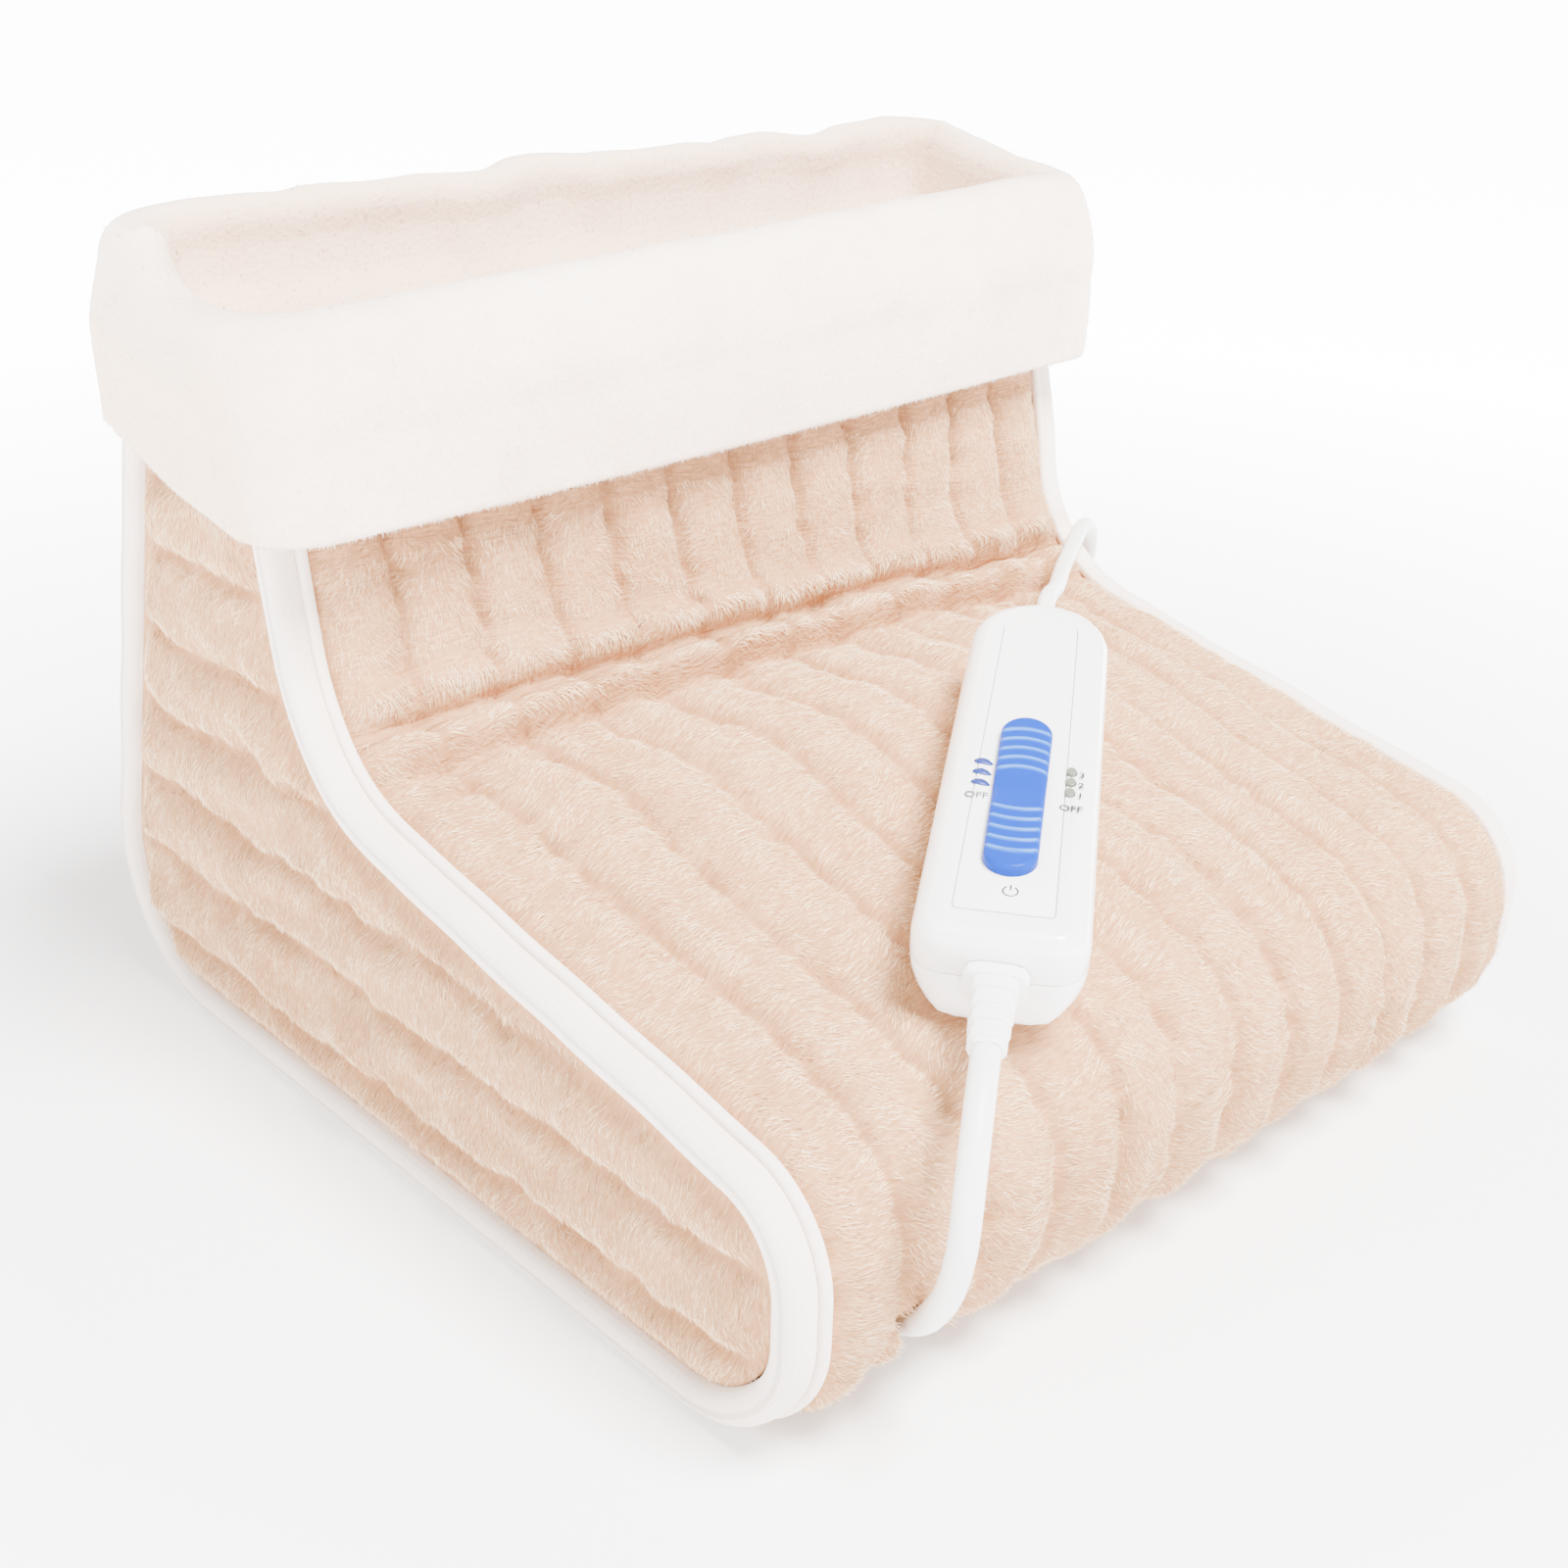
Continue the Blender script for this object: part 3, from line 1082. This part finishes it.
def hand_control():
    frame = bpy.data.objects.new("hand_control_frame", None)
    bpy.context.scene.collection.objects.link(frame)
    frame.matrix_world = control_frame()
    bpy.context.view_layer.update()

    stem_start = KNOB_START + KNOB_LENGTH / 2 - STEM_LENGTH / 2
    travel = STEP_TRAVEL * STEP_COUNT
    slot = stadium(stem_start - SLOT_PLAY, STEM_LENGTH + travel + 2 * SLOT_PLAY, STEM_WIDTH + 2 * SLOT_PLAY)
    face = CONTROL_THICK
    plate_edge = CONTROL_EDGE_RADIUS + PLATE_MARGIN
    over = CONTROL_WALL

    upper = solid("control_upper_shell", *shell(upper_rings(0), upper_rings(CONTROL_WALL)[::-1]),
                  WHITE_GLOSS, frame)
    lower = solid("control_lower_shell", *shell(lower_rings(0), lower_rings(CONTROL_WALL)[::-1]),
                  WHITE_GLOSS, frame)
    recess = plan(plate_edge, plate_edge)
    cut(upper, "recess_cutter", prism(recess, face - PLATE_DEPTH, face + over), frame)
    cut(upper, "slot_cutter", prism(slot, face - 2 * CONTROL_WALL, face + over), frame)
    plate = solid("face_plate", *prism(plan(plate_edge + GAP, plate_edge + GAP), face - PLATE_DEPTH + GAP,
                                       face + GAP), WHITE_MATTE, frame)
    cut(plate, "plate_slot_cutter", prism(slot, face - over, face + over), frame)

    # Indicator lenses through the plate and the shell
    holes = []
    middle = KNOB_START + KNOB_LENGTH / 2
    for k in range(1, STEP_COUNT + 1):
        start = middle + STEP_TRAVEL * k - LENS_LENGTH / 2
        move = Matrix.Translation((0, -LENS_OFFSET, 0))
        lens = stadium(start, LENS_LENGTH, LENS_WIDTH, 4)
        hole = stadium(start - GAP, LENS_LENGTH + 2 * GAP, LENS_WIDTH + 2 * GAP, 4)
        body = placed(prism(lens, face - CONTROL_WALL, face + GAP + LENS_PROUD), move)
        solid(f"indicator_lens_{k}", *body, LENS_GREY, frame)
        holes.append(placed(prism(hole, face - 2 * CONTROL_WALL, face + over), move))
    cut(upper, "lens_cutter", joined(holes), frame)
    cut(plate, "plate_lens_cutter", joined(holes), frame)

    slider(frame, stem_start, face + GAP)
    board_parts(frame, stem_start, lower)
    reliefs(frame, upper, lower)
    return frame


def slider(frame, stem_start, plate_top):
    """The knob rides on the face plate; its stem passes the slot into the carrier below."""
    axis = bpy.data.objects.new("slider_axis", None)
    bpy.context.scene.collection.objects.link(axis)
    axis.parent = frame
    axis.location = (KNOB_START + KNOB_LENGTH / 2, 0, plate_top + GAP)
    bpy.context.view_layer.update()
    half = KNOB_LENGTH / 2
    # The knob's side profile: a low dome with ribs on both sides of a smooth middle
    stops = [(side * share * half, 0) for side in (-1, 1) for share in KNOB_END_SHARES]
    bow_start = half - KNOB_RIB_COUNT * KNOB_RIB_PITCH
    for side in (-1, 1):
        for k in range(KNOB_RIB_COUNT):
            crest = side * (half - (k + 1) * KNOB_RIB_PITCH)
            stops += [(crest + share * KNOB_RIB_PITCH, rise) for share, rise in KNOB_RIB_SHARES]
    rings = []
    for x, rise in sorted(stops):
        end = max(abs(x) - (half - KNOB_WIDTH / 2), 0)
        width_share = math.sqrt(max(1 - (end / (KNOB_WIDTH / 2)) ** 2, 0))
        dome = KNOB_END_RISE_SHARE + (1 - KNOB_END_RISE_SHARE) * width_share
        height = KNOB_HEIGHT * dome + KNOB_RIB_HEIGHT * (rise - 1)
        width = width_share * KNOB_WIDTH / 2
        bow = KNOB_RIB_BOW * max(min(x / bow_start, 1), -1)
        rings.append([(x - bow * c * c, width * c, height * s) for c, s in KNOB_SECTION_SHARES])
    knob = solid("slider_knob", *lofted(rings), BLUE_GLOSS, axis)
    depth = CONTROL_WALL + 2 * GAP
    stem_line = stadium(-STEM_LENGTH / 2, STEM_LENGTH, STEM_WIDTH)
    stem_low = -depth - CARRIER_THICK * STEM_TIP_SHARE
    stem = solid("knob_stem_shape", *prism(stem_line, stem_low, KNOB_HEIGHT * STEM_ROOT_SHARE), None, axis,
                 smooth=False)
    stem.hide_render = True
    stem.display_type = "WIRE"
    union = knob.modifiers.new("stem", "BOOLEAN")
    union.operation = "UNION"
    union.solver = "EXACT"
    union.object = stem
    top = -depth - GAP
    carrier = solid("slider_carrier", *box((-CARRIER_LENGTH / 2, -CARRIER_WIDTH / 2, top - CARRIER_THICK),
                                           (CARRIER_LENGTH / 2, CARRIER_WIDTH / 2, top)), WHITE_MATTE, axis,
                    smooth=False)
    socket = stadium(-STEM_LENGTH / 2 - GAP, STEM_LENGTH + 2 * GAP, STEM_WIDTH + 2 * GAP)
    cut(carrier, "stem_socket_cutter", prism(socket, stem_low - GAP, top + CONTROL_WALL), axis)


def board_parts(frame, stem_start, lower):
    """Board on bosses of the lower shell, with the slide switch under the carrier."""
    carrier_low = CONTROL_THICK + 2 * GAP - (CONTROL_WALL + 2 * GAP) - GAP - CARRIER_THICK
    board_top = CONTROL_SEAM_HEIGHT
    half = CONTROL_WIDTH_HEAD / 2 - CONTROL_WALL - BOARD_MARGIN
    board = solid("circuit_board", *box((BOARD_START, -half, board_top - BOARD_THICK),
                                        (BOARD_START + BOARD_LENGTH, half, board_top)), BOARD_GREEN, frame,
                  smooth=False)
    centre = stem_start + STEM_LENGTH / 2 + STEP_TRAVEL * STEP_COUNT / 2
    solid("slide_switch", *box((centre - SWITCH_LENGTH / 2, -SWITCH_WIDTH / 2, board_top + GAP),
                               (centre + SWITCH_LENGTH / 2, SWITCH_WIDTH / 2, carrier_low - GAP)),
          DARK, frame, smooth=False)
    # Capacitor, triac and terminal block on the free end of the board
    x, rise = BOARD_START + BOARD_LENGTH, CONTROL_THICK - CONTROL_WALL - board_top - 4 * GAP
    for name, start, end, right, left, tall in BOARD_BLOCK_SHARES:
        solid(name, *box((x - start * BOARD_LENGTH, right * half, board_top + GAP),
                         (x - end * BOARD_LENGTH, left * half, board_top + GAP + tall * rise)), DARK, frame,
              smooth=False)
    # Hollow bosses moulded on the lower shell carry the board, and a screw comes up through each
    size = SCREW_HEAD + 2 * BOSS_WALL
    for k, x in enumerate((BOARD_START + BOSS_INSET, BOARD_START + BOARD_LENGTH - BOSS_INSET), 1):
        move = Matrix.Translation((x, 0, 0))
        boss = solid(f"boss_shape_{k}", *placed(turned(((CONTROL_WALL / 2, size / 2), (
            board_top - BOARD_THICK - GAP, size / 2)), SCREW_SIDES, "Z"), move), None, frame, smooth=False)
        boss.hide_render = True
        boss.display_type = "WIRE"
        union = lower.modifiers.new(boss.name, "BOOLEAN")
        union.operation = "UNION"
        union.solver = "EXACT"
        union.object = boss
        shaft, head = SCREW_SHAFT / 2, SCREW_HEAD / 2
        sunk = GAP + SCREW_HEAD_THICK
        bore = ((-SCREW_HEAD, head + GAP), (sunk + GAP, head + GAP), (sunk + GAP, shaft + GAP),
                (board_top, shaft + GAP))
        cut(lower, f"screw_cutter_{k}", placed(turned(bore, SCREW_SIDES, "Z"), move), frame)
        screw = ((GAP, head), (sunk, head), (sunk, shaft), (board_top - BOARD_THICK - GAP, shaft))
        solid(f"board_screw_{k}", *placed(turned(screw, SCREW_SIDES, "Z"), move), STEEL, frame)


def reliefs(frame, upper, lower):
    """Collar and ribbed relief on the mains side, a tapered one on the lead side."""
    z = CONTROL_SEAM_HEIGHT
    neck_width, neck_height = COLLAR_WIDTH * COLLAR_NECK_SHARE, COLLAR_HEIGHT * COLLAR_NECK_SHARE
    rings = [section_ring(COLLAR_INSIDE, neck_width, neck_height, z),
             section_ring(-GAP, neck_width, neck_height, z),
             section_ring(-GAP, COLLAR_WIDTH, COLLAR_HEIGHT, z),
             section_ring(-COLLAR_LENGTH, COLLAR_WIDTH, COLLAR_HEIGHT, z),
             section_ring(-COLLAR_LENGTH, RELIEF_WIDTH, RELIEF_HEIGHT, z)]
    pitch = RELIEF_LENGTH / RELIEF_RIBS
    for k in range(RELIEF_RIBS):
        start = -COLLAR_LENGTH - pitch * k
        shrink = 1 - RELIEF_TAPER_SHARE * k
        for share, low in RELIEF_RIB_SHARES:
            drop = RELIEF_RIB_DROP * low
            rings.append(section_ring(start - share * pitch, RELIEF_WIDTH * shrink - 2 * drop,
                                      RELIEF_HEIGHT * shrink - 2 * drop, z))
    solid("mains_strain_relief", *lofted(rings), WHITE_MATTE, frame)
    hole = [section_ring(x, neck_width + 2 * GAP, neck_height + 2 * GAP, z)
            for x in (-CONTROL_WALL, COLLAR_INSIDE + GAP)]
    for target, name in ((upper, "upper_inlet_cutter"), (lower, "lower_inlet_cutter")):
        cut(target, name, lofted(hole), frame)
    head = CONTROL_LENGTH
    profile = ((head - LEAD_RELIEF_INSIDE, LEAD_RELIEF_FOOT / 2), (head, LEAD_RELIEF_FOOT / 2),
               (head + LEAD_RELIEF_LENGTH, LEAD_RELIEF_TIP / 2))
    up = Matrix.Translation((0, 0, z))
    solid("lead_strain_relief", *placed(turned(profile, RELIEF_SIDES), up), WHITE_MATTE, frame)
    radius = LEAD_RELIEF_FOOT / 2 + GAP
    bore = ((head - 2 * LEAD_RELIEF_INSIDE, radius), (head + CONTROL_WALL, radius))
    for target, name in ((upper, "upper_outlet_cutter"), (lower, "lower_outlet_cutter")):
        cut(target, name, placed(turned(bore, RELIEF_SIDES), up), frame)


def gland():
    """The lead enters the heater layer through a gland in the right side panel."""
    z = SOLE_LINING_OFFSET - HEATER_LAYER / 2
    face = (BOOT_WIDTH / 2 - BINDING_SIZE + SIDE_THICK - EDGE_DROP + SIDE_CHANNEL_DEPTH
            + SIDE_CHANNEL_WAVE + GAP)
    inner = BAND_HALF - GLAND_TAIL
    body = GLAND_BODY / 2
    step = face + GLAND_FLANGE_THICK
    tip = step + GLAND_NOSE
    profile = ((inner, body), (face, body), (face, GLAND_FLANGE / 2), (step, GLAND_FLANGE / 2),
               (step, body), (tip, PAD_CORD / 2 * GLAND_TIP_SHARE))
    move = Matrix.Translation((0, GLAND_Y, z))
    solid("lead_gland", *placed(turned(profile, RELIEF_SIDES), move), WHITE_MATTE)
    hole = placed(turned(((inner - GAP, body + GAP), (face + GAP, body + GAP)), RELIEF_SIDES), move)
    return hole, (tip, GLAND_Y, z)


def plug(tail_end):
    """Flat two-pin plug that lies beside the coil, its pins along +X."""
    x, y, z = tail_end
    z = PLUG_THICK / 2
    start = x + GAP
    nose = start + PLUG_GRIP_LENGTH
    swell_width = PLUG_GRIP_WIDTH * PLUG_SWELL_WIDTH_SHARE
    rings = [plug_ring(start, y, z, PLUG_GRIP_WIDTH, PLUG_GRIP_WIDTH),
             plug_ring(start + PLUG_GRIP_LENGTH * PLUG_SWELL_SHARE, y, z, swell_width, PLUG_GRIP_WIDTH),
             plug_ring(nose, y, z, PLUG_NOSE_WIDTH, PLUG_THICK),
             plug_ring(nose + PLUG_LENGTH * PLUG_NOSE_SHARE, y, z, PLUG_WIDTH, PLUG_THICK),
             plug_ring(nose + PLUG_LENGTH, y, z, PLUG_WIDTH, PLUG_THICK)]
    solid("plug_body", *lofted(rings), WHITE_MATTE)
    face = nose + PLUG_LENGTH + GAP
    profile = ((face, PIN_SIZE / 2), (face + PIN_LENGTH - PIN_TIP, PIN_SIZE / 2),
               (face + PIN_LENGTH, PIN_SIZE / 2 - PIN_TIP))
    for k, side in enumerate((-1, 1), 1):
        move = Matrix.Translation((0, y + side * PIN_SPACING / 2, z))
        solid(f"plug_pin_{k}", *placed(turned(profile, PIN_SIDES), move), NICKEL)


def plug_ring(x, y, z, width, height):
    corner = min(PLUG_CORNER, height / 2 - GAP)
    ring = []
    for sy, sz, first in ((1, -1, -0.5), (1, 1, 0), (-1, 1, 0.5), (-1, -1, 1)):
        for k in range(3):
            a = math.pi * (first + 0.25 * k)
            ring.append((x, y + sy * (width / 2 - corner) + corner * math.cos(a),
                         z + sz * (height / 2 - corner) + corner * math.sin(a)))
    return ring


def main():
    clear_scene()
    for side in (-1, 1):
        side_lining(side)
        binding(side)
    left = side_panel(-1)
    right = side_panel(1)
    panel("shaft_front_panel", 0, OUTLINE.crease)
    panel("instep_panel", OUTLINE.crease, OUTLINE.sole_start)
    panel("sole_panel", OUTLINE.sole_start, OUTLINE.sole_end)
    panel("back_panel", OUTLINE.sole_end, LAST)
    lining("lining_front", OUTLINE.lining_front, OUTLINE.crease)
    lining("lining_instep", OUTLINE.crease, OUTLINE.sole_start)
    lining("lining_sole", OUTLINE.sole_start, OUTLINE.sole_end)
    lining("lining_back", OUTLINE.sole_end, OUTLINE.lining_back)
    cuff()
    foam_insole()
    heater_fittings(*heater())
    hole, gland_tip = gland()
    cut(right, "gland_cutter", hole)

    frame = hand_control()
    place = frame.matrix_world
    z = CONTROL_SEAM_HEIGHT
    foot, head = -COLLAR_LENGTH - RELIEF_LENGTH - GAP, CONTROL_LENGTH + LEAD_RELIEF_LENGTH + GAP
    mains_exit = [tuple(place @ Vector((foot - MAINS_CORD * k, 0, z))) for k in (0, 1)]
    pad_exit = [tuple(place @ Vector((head + PAD_CORD * k, 0, z))) for k in (0, 1)]
    coil_line = coil()
    coil_start, coil_end = coil_line[0], coil_line[-1]
    meet = [coil_start - (0, MAINS_CORD, 0), coil_start - (0, GAP, 0)]
    cord("mains_lead", [*mains_exit, *MAINS_ROUTE, *meet], MAINS_CORD, WHITE_MATTE)
    x, y, z = gland_tip
    entry = [(x + 2 * PAD_CORD, y, z), (x + GAP, y, z)]
    cord("pad_lead", [*pad_exit, *PAD_ROUTE, *entry], PAD_CORD, WHITE_MATTE)
    leave = [coil_end - (0, GAP, 0), coil_end - (0, MAINS_CORD, 0)]
    cord("mains_tail", [*leave, *TAIL_ROUTE], MAINS_CORD, WHITE_MATTE)
    plug(TAIL_ROUTE[-1])
    print("control frame", [round(v, 4) for v in place.translation],
          "axis", [round(v, 4) for v in (place.to_3x3() @ Vector((1, 0, 0)))])


main()
